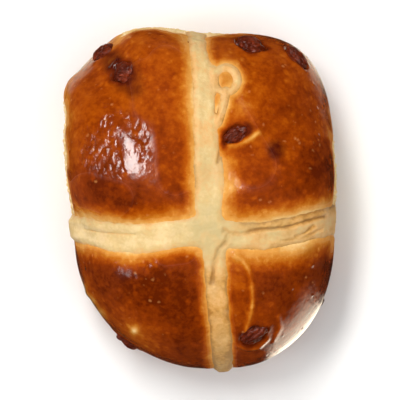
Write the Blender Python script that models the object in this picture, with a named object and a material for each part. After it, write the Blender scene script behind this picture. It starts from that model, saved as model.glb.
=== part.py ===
"""Hot cross bun: a fruit bun with a piped paste cross, and raisins sunk in its crust.

Metres, +Z up. The origin is on the flat base, under the middle of the bun. +X is right and +Y is back. The
bun was pressed against other buns on its left, right and back sides, while its front rose freely. Directions
from the heart of the bun are given in degrees: an azimuth from +X towards +Y, and an elevation above the
level where the bun is widest.
"""

import math
from typing import NamedTuple

import bmesh
import bpy
from mathutils import Matrix, Vector
from mathutils.bvhtree import BVHTree

# Driving dimensions of the dough
BUN_WIDTH = 0.0720
BUN_LENGTH = 0.0920
DOME_TOP = 0.0466
WIDEST_LEVEL = 0.0165
BASE_CUT = 0.97
HEART_X, HEART_Y = 0.0002, -0.0005
SKIN_SECTORS, SKIN_BANDS = 64, 30

# Squareness of the outline seen from above, where 2 is an ellipse
FRONT_SQUARENESS = 2.1
BACK_LEFT_SQUARENESS = 3.6
BACK_RIGHT_SQUARENESS = 3.4
OUTLINE_LEAN = 0.03
OUTLINE_WAVES = ((1, 0.011, 10.0), (4, 0.012, 170.0), (7, 0.005, 40.0))

# Flats and bulges of the outline: the middle of each and half its spread in degrees, and its depth
OUTLINE_FLATS = ((125.0, 14.0, 0.036), (141.0, 9.0, -0.030), (262.0, 32.0, 0.028))

# Sides that were pressed flat: the middle of each and half its spread, in degrees of azimuth
PRESSED_SIDES = ((6.0, 38.0), (97.0, 28.0), (166.0, 36.0))

# Squareness of the upright profile, on a free side and on a pressed one
DOME_SQUARENESS = (2.30, 3.60)
FOOT_SQUARENESS = (3.4, 5.0)

# The paste keeps the dough under it from rising, so that the cross lies in a valley
VALLEY_DEPTH = 0.0020
VALLEY_SPREAD = 0.0065
VALLEY_LOW, VALLEY_HIGH = 0.016, 0.036
VALLEY_AT_FOOT = 0.30

# Piped paste
PASTE_CROWN = 0.0007
PASTE_DEPTH = 0.0013
PASTE_END_RADIUS = 0.0022
PASTE_END_SHARE = 0.70
PASTE_STATIONS = 40
SETTLE_STEPS = 6

# A curl of paste where the nozzle wandered beside the long arm: a ring, and a tail that runs back to the arm
STRAND_HALF_WIDTH = 0.0010
STRAND_HALF_HEIGHT = 0.0009
STRAND_SIDES = 8
CURL_X, CURL_Y = 0.0071, 0.0314
CURL_REACH_X, CURL_REACH_Y = 0.0029, 0.0035
CURL_STEPS = 16
TAIL_PLACES = ((0.0050, 0.0292), (0.0053, 0.0265), (0.0051, 0.0235), (0.0043, 0.0200))

# Gap left between pieces that touch, and how far a cutter reaches out of the skin
GAP = 0.0003
CUT_ABOVE = 0.004

# Step in degrees for reading the slope of the skin
SLOPE_STEP = 0.5


class PasteArm(NamedTuple):
    """One piped line: the axis it runs along, the tilts of its ends, and its bends."""

    runs_back: bool
    start_tilt: float
    end_tilt: float
    bends: tuple  # (place along the bun, centre across it, width)


LONG_ARM = PasteArm(
    True,
    -97.0,
    78.0,
    (
        (-0.0460, 0.0062, 0.0050),
        (-0.0390, 0.0058, 0.0054),
        (-0.0260, 0.0045, 0.0056),
        (-0.0140, 0.0037, 0.0062),
        (-0.0010, 0.0022, 0.0068),
        (0.0060, 0.0024, 0.0078),
        (0.0180, 0.0014, 0.0062),
        (0.0310, 0.0008, 0.0056),
        (0.0370, -0.0002, 0.0048),
        (0.0460, -0.0012, 0.0048),
    ),
)
CROSS_ARM = PasteArm(
    False,
    -79.0,
    80.0,
    (
        (-0.0360, -0.0068, 0.0066),
        (-0.0275, -0.0088, 0.0072),
        (-0.0210, -0.0100, 0.0080),
        (-0.0140, -0.0101, 0.0078),
        (-0.0080, -0.0092, 0.0076),
        (0.0013, -0.0085, 0.0074),
        (0.0110, -0.0093, 0.0070),
        (0.0175, -0.0092, 0.0074),
        (0.0240, -0.0082, 0.0074),
        (0.0300, -0.0066, 0.0076),
        (0.0360, -0.0052, 0.0076),
    ),
)

# Half-section of the paste: shares of its half width, and of its crown above or its depth below the skin
PASTE_SECTION = (
    (-1.00, 0.00),
    (-0.78, 0.72),
    (-0.35, 1.00),
    (0.35, 1.00),
    (0.78, 0.72),
    (1.00, 0.00),
    (0.80, -0.80),
    (0.00, -1.00),
    (-0.80, -0.80),
)


class Raisin(NamedTuple):
    """One raisin: where it sits, how it is turned on the skin, its size, and the share of it that is sunk."""

    azimuth: float
    elevation: float
    turn: float
    length: float
    width: float
    thickness: float
    sunk: float


RAISINS = (
    Raisin(123.0, 18.0, -40.0, 0.0078, 0.0054, 0.0044, 0.60),
    Raisin(121.0, 39.0, -60.0, 0.0082, 0.0068, 0.0046, 0.76),
    Raisin(72.5, 27.0, 8.0, 0.0090, 0.0074, 0.0050, 0.70),
    Raisin(56.0, 21.0, -13.0, 0.0082, 0.0062, 0.0048, 0.70),
    Raisin(62.5, 66.0, 54.0, 0.0086, 0.0052, 0.0046, 0.80),
    Raisin(242.5, 5.0, 12.0, 0.0080, 0.0060, 0.0048, 0.74),
    Raisin(291.5, 36.5, 13.0, 0.0086, 0.0060, 0.0050, 0.76),
    Raisin(319.0, -24.0, 30.0, 0.0084, 0.0058, 0.0046, 0.80),
    Raisin(258.0, -26.0, -20.0, 0.0076, 0.0054, 0.0044, 0.80),
)
RAISIN_LOBES, RAISIN_WRINKLE = 3, 0.07
RAISIN_SECTORS, RAISIN_BANDS = 14, 7

# Colours are linear, and each finish is a colour, a roughness and a coat
CRUST_FINISH = ((0.330, 0.095, 0.014), 0.30, 0.6)
PASTE_FINISH = ((0.760, 0.560, 0.280), 0.55, 0.2)
RAISIN_FINISH = ((0.060, 0.012, 0.008), 0.28, 0.6)


def ramp(low, high, value):
    """Rises smoothly from 0 at low to 1 at high."""
    share = min(1.0, max(0.0, (value - low) / (high - low)))
    return share * share * (3.0 - 2.0 * share)


def direction(azimuth, elevation):
    """The unit vector for an azimuth and an elevation in degrees."""
    turn, rise = math.radians(azimuth), math.radians(elevation)
    flat = math.cos(rise)
    return Vector((flat * math.cos(turn), flat * math.sin(turn), math.sin(rise)))


def pressed(azimuth):
    """How flat a neighbour pressed the dough at an azimuth in radians, from 0 to 1."""
    strongest = 0.0
    for middle, spread in PRESSED_SIDES:
        away = (math.degrees(azimuth) - middle + 180.0) % 360.0 - 180.0
        share = min(1.0, abs(away) / spread)
        strongest = max(strongest, (1.0 - share * share) ** 2)
    return strongest


def outline(azimuth):
    """The bun's reach from its upright axis at an azimuth in radians, where it is widest."""
    across, along = math.cos(azimuth), math.sin(azimuth)
    back = BACK_LEFT_SQUARENESS + (BACK_RIGHT_SQUARENESS - BACK_LEFT_SQUARENESS) * (1.0 + across) / 2.0
    power = FRONT_SQUARENESS + (back - FRONT_SQUARENESS) * ramp(-0.35, 0.35, along)
    shares = (2.0 * abs(across) / BUN_WIDTH) ** power + (2.0 * abs(along) / BUN_LENGTH) ** power
    uneven = 1.0 - OUTLINE_LEAN * math.sin(2.0 * azimuth)
    for order, share, phase in OUTLINE_WAVES:
        uneven += share * math.cos(order * azimuth - math.radians(phase))
    for middle, spread, depth in OUTLINE_FLATS:
        away = abs((math.degrees(azimuth) - middle + 180.0) % 360.0 - 180.0)
        near = min(1.0, away / spread)
        uneven -= depth * (1.0 - near * near) ** 2
    return uneven * shares ** (-1.0 / power)


def bend_of(arm, place):
    """The centre across the bun and the width of an arm, at a place along it."""
    bends = arm.bends
    place = min(max(place, bends[0][0]), bends[-1][0])
    for before, after in zip(bends, bends[1:]):
        if place <= after[0]:
            share = ramp(before[0], after[0], place)
            return tuple(a + share * (b - a) for a, b in zip(before[1:], after[1:]))
    return bends[-1][1:]


def off_centre(arm, point):
    """How far a point lies to the side of an arm's centre line."""
    if arm.runs_back:
        return point.x - bend_of(arm, point.y)[0]
    return point.y - bend_of(arm, point.x)[0]


def valley(point):
    """How deep the paste holds the dome down at a point."""
    clear = 1.0
    for arm in (LONG_ARM, CROSS_ARM):
        clear *= 1.0 - math.exp(-((off_centre(arm, point) / VALLEY_SPREAD) ** 2))
    fade = VALLEY_AT_FOOT + (1.0 - VALLEY_AT_FOOT) * ramp(VALLEY_LOW, VALLEY_HIGH, point.z)
    return VALLEY_DEPTH * (1.0 - clear) * fade


def skin(aim):
    """The point of the bun's skin in a direction from its heart."""
    azimuth = math.atan2(aim.y, aim.x)
    flat, rise = math.hypot(aim.x, aim.y) / aim.length, aim.z / aim.length
    free, flattened = DOME_SQUARENESS if rise >= 0.0 else FOOT_SQUARENESS
    power = free + (flattened - free) * pressed(azimuth)
    reach = (flat**power + abs(rise) ** power) ** (-1.0 / power)
    height = DOME_TOP - WIDEST_LEVEL if rise >= 0.0 else WIDEST_LEVEL / BASE_CUT
    radius = outline(azimuth) * flat * reach
    point = Vector((HEART_X + radius * math.cos(azimuth), HEART_Y + radius * math.sin(azimuth), WIDEST_LEVEL))
    point.z += height * rise * reach
    above = max(0.0, point.z - WIDEST_LEVEL)
    outward = Vector((point.x / BUN_WIDTH, point.y / BUN_LENGTH, above / DOME_TOP))
    point -= outward.normalized() * valley(point)
    point.z = max(0.0, point.z)
    return point


def seat(azimuth, elevation, turn):
    """The place of the skin in a direction: its +Z points out of the dough, and turn spins it about that."""
    east = skin(direction(azimuth + SLOPE_STEP, elevation)) - skin(direction(azimuth - SLOPE_STEP, elevation))
    up = skin(direction(azimuth, elevation + SLOPE_STEP)) - skin(direction(azimuth, elevation - SLOPE_STEP))
    out = east.cross(up).normalized()
    side = east.normalized()
    frame = Matrix((side, out.cross(side), out)).transposed().to_4x4()
    spin = Matrix.Rotation(math.radians(turn), 4, "Z")
    return Matrix.Translation(skin(direction(azimuth, elevation))) @ frame @ spin


def finish_material(name, finish):
    """A glossy food surface."""
    colour, roughness, coat = finish
    material = bpy.data.materials.new(name)
    material.use_nodes = True
    shader = material.node_tree.nodes["Principled BSDF"]
    shader.inputs["Base Color"].default_value = (*colour, 1.0)
    shader.inputs["Roughness"].default_value = roughness
    shader.inputs["Coat Weight"].default_value = coat
    return material


def add_piece(name, shape, material):
    """Makes an object from a bmesh, in a material."""
    mesh = bpy.data.meshes.new(name)
    shape.to_mesh(mesh)
    shape.free()
    mesh.shade_smooth()
    piece = bpy.data.objects.new(name, mesh)
    bpy.context.scene.collection.objects.link(piece)
    if material:
        mesh.materials.append(material)
    return piece


def add_helper(name, shape):
    """Makes an object that only shapes other objects, by being joined to them or cut from them."""
    helper = add_piece(name, shape, None)
    helper.hide_render = True
    helper.display_type = "WIRE"
    return helper


def combine(target, others, operation):
    """Joins helper objects to a piece, or cuts them from it."""
    for other in others:
        step = target.modifiers.new(other.name, "BOOLEAN")
        step.operation = operation
        step.object = other


def dough_shape():
    """The bun without its grooves and pockets."""
    shape = bmesh.new()
    bmesh.ops.create_uvsphere(shape, u_segments=SKIN_SECTORS, v_segments=SKIN_BANDS, radius=1.0)
    for vertex in shape.verts:
        vertex.co = skin(vertex.co)
    return shape


def arm_point(arm, tilt, aside=0.0):
    """The skin at a distance to the side of an arm's centre line, in the slice that leans by a tilt."""
    lean = math.radians(tilt)
    half_across = (BUN_WIDTH if arm.runs_back else BUN_LENGTH) / 2.0
    offset = 0.0
    for _ in range(SETTLE_STEPS):
        along = math.sin(lean)
        aim = (offset, along) if arm.runs_back else (along, offset)
        point = skin(Vector((*aim, math.cos(lean))))
        offset += (aside - off_centre(arm, point)) / half_across
    return point


def arm_stations(arm):
    """The stations of an arm: the tilt of each, its way along, its way out of the skin, and its end share."""
    step = (arm.end_tilt - arm.start_tilt) / (PASTE_STATIONS - 1)
    tilts = [arm.start_tilt + step * index for index in range(PASTE_STATIONS)]
    points = [arm_point(arm, tilt) for tilt in tilts]
    travelled = [0.0]
    for before, after in zip(points, points[1:]):
        travelled.append(travelled[-1] + (after - before).length)
    side = Vector((1.0, 0.0, 0.0)) if arm.runs_back else Vector((0.0, -1.0, 0.0))
    for index, tilt in enumerate(tilts):
        along = (points[min(index + 1, PASTE_STATIONS - 1)] - points[max(index - 1, 0)]).normalized()
        to_end = min(travelled[index], travelled[-1] - travelled[index])
        near = min(1.0, to_end / PASTE_END_RADIUS)
        share = PASTE_END_SHARE + (1.0 - PASTE_END_SHARE) * math.sqrt(1.0 - (1.0 - near) ** 2)
        yield tilt, along, side.cross(along).normalized(), share


def ribbon_corner(across, height, cutter):
    """How far a corner of the paste's section moves sideways and outwards. A cutter's goes clear of it."""
    lift = height * (PASTE_CROWN if height > 0.0 else PASTE_DEPTH)
    if not cutter:
        return 0.0, lift
    spread = math.copysign(GAP, across) if across else 0.0
    return spread, CUT_ABOVE if height > 0.0 else lift - GAP


def ribbon_ring(arm, station, cutter):
    """The corners of the paste's section at a station of an arm."""
    tilt, along, out, share = station
    side = along.cross(out)
    middle = arm_point(arm, tilt)
    half = share * bend_of(arm, middle.y if arm.runs_back else middle.x)[1] / 2.0
    for across, height in PASTE_SECTION:
        if cutter and height > 0.0:
            across = math.copysign(1.0, across)
        spread, lift = ribbon_corner(across, height, cutter)
        reach = half * across * (1.0 if arm.runs_back else -1.0)
        yield arm_point(arm, tilt, reach) + side * spread + out * lift


def loft(rings, closed=False):
    """A body through rings of points, which runs back to its first ring or has a face over each end."""
    shape = bmesh.new()
    loops = [[shape.verts.new(corner) for corner in ring] for ring in rings]
    for before, after in zip(loops, loops[1:] + loops[:1] if closed else loops[1:]):
        for index in range(len(before)):
            following = (index + 1) % len(before)
            shape.faces.new((before[index], before[following], after[following], after[index]))
    if not closed:
        shape.faces.new(loops[0])
        shape.faces.new(loops[-1])
    bmesh.ops.remove_doubles(shape, verts=shape.verts, dist=GAP / 10.0)
    bmesh.ops.recalc_face_normals(shape, faces=shape.faces)
    return shape


def ribbon_shape(arm, cutter=False):
    """The paste along an arm, or the larger shape that cuts its groove."""
    stations = list(arm_stations(arm))
    rings = [list(ribbon_ring(arm, station, cutter)) for station in stations]
    if cutter:
        rings[0] = [corner - stations[0][1] * GAP for corner in rings[0]]
        rings[-1] = [corner + stations[-1][1] * GAP for corner in rings[-1]]
    return loft(rings)


def dropped(places):
    """Where places seen from above meet the skin: the point and the way out of the skin at each."""
    dough = dough_shape()
    surface = BVHTree.FromBMesh(dough)
    dough.free()
    down = Vector((0.0, 0.0, -1.0))
    return [surface.ray_cast(Vector((*place, 2.0 * DOME_TOP)), down)[:2] for place in places]


def curl_places():
    """Places round the ring of the curl, seen from above."""
    for step in range(CURL_STEPS):
        turn = 2.0 * math.pi * step / CURL_STEPS
        yield CURL_X + CURL_REACH_X * math.cos(turn), CURL_Y + CURL_REACH_Y * math.sin(turn)


def strand_shape(places, closed, cutter=False):
    """A thin strand of paste along places seen from above, or the larger shape that cuts its groove."""
    gap = GAP if cutter else 0.0
    laid = dropped(places)
    last = len(laid) - 1
    rings = []
    for index, (point, out) in enumerate(laid):
        before = laid[index - 1] if closed else laid[max(index - 1, 0)]
        after = laid[(index + 1) % len(laid)] if closed else laid[min(index + 1, last)]
        along = (after[0] - before[0]).normalized()
        side = along.cross(out).normalized()
        if cutter and not closed and index in (0, last):
            point = point + along * (gap if index else -gap)
        ring = []
        for corner in range(STRAND_SIDES):
            angle = 2.0 * math.pi * corner / STRAND_SIDES
            reach = (STRAND_HALF_WIDTH + gap) * math.cos(angle)
            ring.append(point + side * reach + out * (STRAND_HALF_HEIGHT + gap) * math.sin(angle))
        rings.append(ring)
    return loft(rings, closed)


def raisin_shape(raisin, cutter=False):
    """A raisin as a flattened, wrinkled ball, or the larger shape that cuts its pocket."""
    gap = GAP if cutter else 0.0
    half_sizes = [size / 2.0 for size in (raisin.length, raisin.width, raisin.thickness)]
    shape = bmesh.new()
    bmesh.ops.create_uvsphere(shape, u_segments=RAISIN_SECTORS, v_segments=RAISIN_BANDS, radius=1.0)
    for vertex in shape.verts:
        way = vertex.co.normalized()
        lobes = math.cos(RAISIN_LOBES * math.atan2(way.y, way.x) + raisin.azimuth)
        swell = 1.0 + RAISIN_WRINKLE * lobes * math.hypot(way.x, way.y)
        vertex.co = Vector(half * swell * share + gap * share for half, share in zip(half_sizes, way))
    return shape


def raisin_place(raisin):
    """Where a raisin's middle lies and how the raisin is turned, sunk in the skin."""
    sink = Matrix.Translation((0.0, 0.0, (0.5 - raisin.sunk) * raisin.thickness))
    return seat(raisin.azimuth, raisin.elevation, raisin.turn) @ sink


def clear_scene():
    """Removes the objects that Blender starts with."""
    for old in list(bpy.data.objects):
        bpy.data.objects.remove(old)


def main():
    """Builds the paste cross, the raisins and the bun that they are sunk in."""
    clear_scene()
    paste = finish_material("paste", PASTE_FINISH)
    cross = add_piece("cross", ribbon_shape(LONG_ARM), paste)
    ring = list(curl_places())
    additions = [
        add_helper("cross_arm", ribbon_shape(CROSS_ARM)),
        add_helper("curl_ring", strand_shape(ring, closed=True)),
        add_helper("curl_tail", strand_shape(TAIL_PLACES, closed=False)),
    ]
    combine(cross, additions, "UNION")

    cutters = [
        add_helper("long_arm_groove", ribbon_shape(LONG_ARM, cutter=True)),
        add_helper("cross_arm_groove", ribbon_shape(CROSS_ARM, cutter=True)),
        add_helper("curl_ring_groove", strand_shape(ring, closed=True, cutter=True)),
        add_helper("curl_tail_groove", strand_shape(TAIL_PLACES, closed=False, cutter=True)),
    ]
    fruit = finish_material("raisin", RAISIN_FINISH)
    for number, raisin in enumerate(RAISINS, start=1):
        piece = add_piece(f"raisin_{number}", raisin_shape(raisin), fruit)
        pocket = add_helper(f"pocket_{number}", raisin_shape(raisin, cutter=True))
        piece.matrix_world = pocket.matrix_world = raisin_place(raisin)
        cutters.append(pocket)

    bun = add_piece("bun", dough_shape(), finish_material("crust", CRUST_FINISH))
    combine(bun, cutters, "DIFFERENCE")


main()
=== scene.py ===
"""The looks of a hot cross bun: glazed crust, piped paste cross, sunken raisins, torn sides and loose crumbs.

Metres, +Z up, +X right and +Y back, with the origin under the middle of the flat base, as the solids have it.
The bun was baked against others on its right, back and left, and torn from them there.
Tables are in millimetres where their docstring or comment says so, and places in them are seen from above.
"""

from __future__ import annotations

import logging
import math
from dataclasses import dataclass, field
from enum import Enum
from typing import Callable, Iterable, Mapping, Sequence, Union

import bmesh
import bpy
import numpy as np
from mathutils import Matrix, Vector

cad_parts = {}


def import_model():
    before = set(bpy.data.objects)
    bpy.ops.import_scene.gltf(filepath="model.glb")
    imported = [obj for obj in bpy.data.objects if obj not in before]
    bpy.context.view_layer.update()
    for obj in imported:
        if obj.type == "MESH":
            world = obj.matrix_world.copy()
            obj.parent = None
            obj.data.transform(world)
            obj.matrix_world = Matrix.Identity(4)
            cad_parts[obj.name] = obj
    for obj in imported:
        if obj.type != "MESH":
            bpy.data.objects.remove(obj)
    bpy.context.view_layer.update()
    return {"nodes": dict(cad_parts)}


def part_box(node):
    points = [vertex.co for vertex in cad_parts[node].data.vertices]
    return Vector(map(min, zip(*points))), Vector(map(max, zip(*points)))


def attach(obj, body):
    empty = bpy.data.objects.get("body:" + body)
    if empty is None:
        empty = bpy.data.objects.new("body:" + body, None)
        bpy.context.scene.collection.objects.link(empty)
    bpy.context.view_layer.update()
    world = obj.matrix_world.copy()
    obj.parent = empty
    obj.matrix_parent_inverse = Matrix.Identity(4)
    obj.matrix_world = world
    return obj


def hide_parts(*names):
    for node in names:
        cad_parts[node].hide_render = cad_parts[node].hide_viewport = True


Array = np.ndarray
Colour = tuple[float, float, float]
Place = tuple[float, float]
Row = tuple[float, ...]
Piece = bpy.types.Object
Material = bpy.types.Material
Value = Union[float, int, bool, str, Sequence[float], "Wire"]
Sockets = Mapping[Union[str, int], Value]

MM = 0.001
HEART = np.array((0.0, 0.0, 0.0165))
BODY = "root"
REPORT = logging.getLogger("bun")


class Slot(str, Enum):
    """The names of the bun's finishes."""

    CRUST = "crust"
    PASTE = "paste"
    RAISIN = "raisin"


class Mark(str, Enum):
    """What a surface carries from point to point for its finish to read."""

    BAKE = "bake_and_painted_light"
    TORN = "torn"
    STAIN = "stain"
    GLAZE = "glaze"
    TOAST_AND_SHADE = "toast_and_shade"
    LOOSE = "loose"
    WRINKLE = "wrinkle"


# ---- Shared maths ----


def ramp(low: float, high: float, value: Array) -> Array:
    """Rises smoothly from 0 at low to 1 at high, or falls where low is the larger."""
    share = np.clip((value - low) / (high - low), 0.0, 1.0)
    return share * share * (3.0 - 2.0 * share)


def mm_ramp(low: float, high: float, value: Array) -> Array:
    """The ramp between two lengths in millimetres."""
    return ramp(low * MM, high * MM, value)


def hump(value: Array, spread: float) -> Array:
    """A bell of height 1 about 0, with its slopes about a spread away."""
    return np.exp(-((value / spread) ** 2))


def from_place(points: Array, x: float, y: float) -> Array:
    """How far points lie from a place in millimetres, seen from above."""
    return np.hypot(points[:, 0] - x * MM, points[:, 1] - y * MM)


def turned_from(azimuth: Array, middle: float) -> Array:
    """How many degrees azimuths lie to either side of a middle."""
    return np.abs((np.degrees(azimuth) - middle + 180.0) % 360.0 - 180.0)


def through(places: Sequence[float], values: Sequence[float], at: Array) -> Array:
    """A smooth line through values at rising places, read at others, and level beyond its ends."""
    places, values = np.asarray(places), np.asarray(values)
    slopes = np.gradient(values, places)
    cell = np.clip(np.searchsorted(places, at) - 1, 0, len(places) - 2)
    width = places[cell + 1] - places[cell]
    t = np.clip((at - places[cell]) / width, 0.0, 1.0)
    start = (1.0 + 2.0 * t) * (1.0 - t) ** 2 * values[cell] + t * (1.0 - t) ** 2 * width * slopes[cell]
    end = t * t * (3.0 - 2.0 * t) * values[cell + 1] + t * t * (t - 1.0) * width * slopes[cell + 1]
    return start + end


def outward(points: Array, quads: Array) -> Array:
    """The unit normals of a surface at its points."""
    faces = np.cross(points[quads[:, 2]] - points[quads[:, 0]], points[quads[:, 3]] - points[quads[:, 1]])
    corners = quads.T.ravel()
    sums = [np.bincount(corners, np.tile(faces[:, axis], 4), len(points)) for axis in range(3)]
    normals = np.stack(sums, axis=1)
    return normals / np.maximum(np.linalg.norm(normals, axis=1, keepdims=True), 1e-12)


class Grain:
    """Smooth seeded noise, for relief and bake that differ from place to place."""

    def __init__(self, seed: int) -> None:
        """Shuffles the noise's directions by a seed."""
        chance = np.random.default_rng(seed)
        ways = chance.normal(size=(256, 3))
        self.order = chance.permutation(256)
        self.ways = ways / np.linalg.norm(ways, axis=1, keepdims=True)

    def at(self, points: Array, size: float) -> Array:
        """Reads the noise.

        Args:
            points: Where to read it.
            size: How large its lumps are.

        Returns:
            Values of about -1 to 1.
        """
        scaled = points / size
        cell = np.floor(scaled).astype(int)
        part = scaled - cell
        fade = part**3 * (part * (part * 6.0 - 15.0) + 10.0)
        total = np.zeros(len(points))
        for corner in np.ndindex(2, 2, 2):
            key = (cell + corner) & 255
            index = self.order[(self.order[(self.order[key[:, 0]] + key[:, 1]) & 255] + key[:, 2]) & 255]
            share = np.prod(np.where(np.array(corner) == 1, fade, 1.0 - fade), axis=1)
            total += share * np.einsum("ij,ij->i", self.ways[index], part - corner)
        return 1.7 * total

    def over(self, points: Array) -> Callable[[float], Array]:
        """The noise at points, to be read by the size of its lumps in millimetres."""
        return lambda size: self.at(points, size * MM)


@dataclass(frozen=True)
class PlanPath:
    """A line on the top of the bun, through places in millimetres."""

    places: tuple[Place, ...]

    def away(self, points: Array) -> Array:
        """How far points lie from the line, seen from above."""
        path = np.array(self.places) * MM
        nearest = np.full(len(points), np.inf)
        for start, end in zip(path, path[1:]):
            run = end - start
            share = np.clip((points[:, :2] - start) @ run / (run @ run), 0.0, 1.0)
            away = np.linalg.norm(points[:, :2] - start - share[:, None] * run, axis=1)
            nearest = np.minimum(nearest, away)
        return nearest


@dataclass(frozen=True)
class AimGrid:
    """Directions spread evenly over a ball, crowded towards its top, with the squares between them."""

    cells: int
    lift: float = 0.30

    def build(self) -> tuple[Array, Array]:
        """The unit directions, and the four corners of each square in outward order."""
        steps = np.tan(np.linspace(-1.0, 1.0, self.cells + 1) * math.pi / 4.0)
        across, along = np.meshgrid(steps, steps, indexing="ij")
        one = np.ones_like(across)
        sides = (
            (across, along, one),
            (along, across, -one),
            (one, across, along),
            (-one, along, across),
            (along, one, across),
            (across, -one, along),
        )
        aims = np.concatenate([np.stack([axis.ravel() for axis in side], axis=1) for side in sides])
        aims /= np.linalg.norm(aims, axis=1, keepdims=True)
        row = self.cells + 1
        first = (np.arange(self.cells)[:, None] * row + np.arange(self.cells)).ravel()
        square = np.stack([first, first + row, first + row + 1, first + 1], axis=1)
        quads = np.concatenate([square + side * row * row for side in range(len(sides))])
        _, kept, index = np.unique(np.round(aims, 6), axis=0, return_index=True, return_inverse=True)
        aims = aims[kept] + (0.0, 0.0, self.lift)
        return aims / np.linalg.norm(aims, axis=1, keepdims=True), index.reshape(-1)[quads]


# ---- Node building, for finishes and for Geometry Nodes ----


def joining(operation: str, turned: bool = False) -> Callable[[Wire, Value], Wire]:
    """An operator of wires that adds a Math node, with its two values swapped if turned."""
    return lambda wire, other: wire.bench.maths(operation, *((other, wire) if turned else (wire, other)))


class Wire:
    """An output socket in an expression: sums and products of it add their Math nodes."""

    __add__ = __radd__ = joining("ADD")
    __mul__ = __rmul__ = joining("MULTIPLY")
    __sub__, __rsub__ = joining("SUBTRACT"), joining("SUBTRACT", True)
    __rtruediv__ = joining("DIVIDE", True)
    __truediv__, __pow__ = joining("DIVIDE"), joining("POWER")

    def __init__(self, bench: Bench, socket: bpy.types.NodeSocket) -> None:
        """Holds a socket and the bench that its tree is built on."""
        self.bench = bench
        self.socket = socket

    def __getitem__(self, name: str | int) -> Wire:
        """Another output of the same node."""
        return Wire(self.bench, self.socket.node.outputs[name])

    def __abs__(self) -> Wire:
        """The size without its sign."""
        return self.bench.maths("ABSOLUTE", self)

    def held(self) -> Wire:
        """The value kept between 0 and 1."""
        return self.bench.node("ShaderNodeClamp", {"Value": self})

    def spread(self, low: float, high: float, start: float = 0.0, end: float = 1.0) -> Wire:
        """The value, with low to high smoothly turned into start to end."""
        sockets = {"Value": self, "From Min": low, "From Max": high, "To Min": start, "To Max": end}
        return self.bench.node("ShaderNodeMapRange", sockets, "Result", interpolation_type="SMOOTHSTEP")


class Bench:
    """Adds nodes to a tree, each from its type, its settings and its sockets' values or links."""

    def __init__(self, tree: bpy.types.NodeTree) -> None:
        """Clears a tree and works on it."""
        tree.nodes.clear()
        self.tree = tree

    def node(self, kind: str, sockets: Sockets, output: str | int = 0, **settings: object) -> Wire:
        """Adds one node.

        Args:
            kind: The node's type.
            sockets: Values or wires for its inputs, by name or number.
            output: The output that is wanted.
            **settings: Its own settings, and "stops" for a colour ramp's places and colours.

        Returns:
            The wire from that output.
        """
        made = self.tree.nodes.new(kind)
        for name, setting in settings.items():
            if name == "stops":
                self._stops(made.color_ramp, setting)
            else:
                setattr(made, name, setting)
        for name, value in sockets.items():
            self._feed(made.inputs[name], value)
        return Wire(self, made.outputs[output] if len(made.outputs) else made.inputs[0])

    def _stops(self, band: bpy.types.ColorRamp, stops: Iterable[tuple[float, Colour]]) -> None:
        """Gives a colour ramp its stops."""
        stops = list(stops)
        while len(band.elements) < len(stops):
            band.elements.new(1.0)
        for element, (place, colour) in zip(band.elements, stops):
            element.position = place
            element.color = (*colour, 1.0)

    def _feed(self, socket: bpy.types.NodeSocket, value: Value) -> None:
        """Links a wire to an input, or sets the input's own value."""
        if isinstance(value, Wire):
            self.tree.links.new(value.socket, socket)
        elif socket.type == "RGBA":
            socket.default_value = (*value, 1.0)
        else:
            socket.default_value = value

    def maths(self, operation: str, *values: Value) -> Wire:
        """A Math node on one or two values."""
        return self.node("ShaderNodeMath", dict(enumerate(values)), operation=operation)

    def vector(self, operation: str, first: Value, second: Value) -> Wire:
        """A Vector Math node on two vectors, or on a vector and the number that scales it."""
        sockets = {0: first, "Scale" if operation == "SCALE" else 1: second}
        return self.node("ShaderNodeVectorMath", sockets, operation=operation)

    def blend(self, share: Value, start: Value, end: Value) -> Wire:
        """A mix of two colours."""
        sockets = {0: share, 6: start, 7: end}
        return self.node("ShaderNodeMix", sockets, 2, data_type="RGBA", clamp_factor=True)


class Surface(Bench):
    """The node tree of one material, on its piece's own coordinates."""

    def __init__(self, name: str) -> None:
        """Makes an empty material."""
        self.material = bpy.data.materials.new(name)
        self.material.use_nodes = True
        super().__init__(self.material.node_tree)
        self.place = self.node("ShaderNodeTexCoord", {}, "Object")

    def mark(self, mark: Mark) -> Wire:
        """What the surface carries under a mark."""
        return self.node("ShaderNodeAttribute", {}, "Fac", attribute_name=mark.value)

    def noise(self, size: float, detail: float = 2.0, rough: float = 0.5, finer: Colour = (1, 1, 1)) -> Wire:
        """Noise of about 0 to 1, with lumps of a size in metres, finer layers, and its fineness by axis."""
        place = self.vector("MULTIPLY", self.place, finer)
        sockets = {"Vector": place, "Scale": 1.0 / size, "Detail": detail, "Roughness": rough}
        return self.node("ShaderNodeTexNoise", sockets)

    def cells(self, size: float, place: Wire | None = None) -> Wire:
        """A field of cells of a size in metres, read as the distance from their middles in sizes."""
        sockets = {"Vector": place or self.place, "Scale": 1.0 / size}
        return self.node("ShaderNodeTexVoronoi", sockets, "Distance")

    def colours(self, share: Value, stops: Sequence[tuple[float, Colour]]) -> Wire:
        """A colour picked from stops by a share."""
        return self.node("ShaderNodeValToRGB", {"Fac": share}, stops=stops)

    def bump(self, height: Wire, depth: float, under: Wire | None = None) -> Wire:
        """A normal tilted by a height of 0 to 1 that stands for a depth in metres."""
        sockets: dict[str | int, Value] = {"Strength": 1.0, "Distance": depth, "Height": height}
        if under is not None:
            sockets["Normal"] = under
        return self.node("ShaderNodeBump", sockets)

    def shader(self, **sockets: Value) -> Wire:
        """A Principled shader, its inputs named with underscores for spaces."""
        named = {name.replace("_", " "): value for name, value in sockets.items()}
        return self.node("ShaderNodeBsdfPrincipled", named)

    def finish(self, shader: Wire) -> Material:
        """Closes the tree with a shader, and gives the material."""
        self.node("ShaderNodeOutputMaterial", {"Surface": shader})
        return self.material


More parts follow.
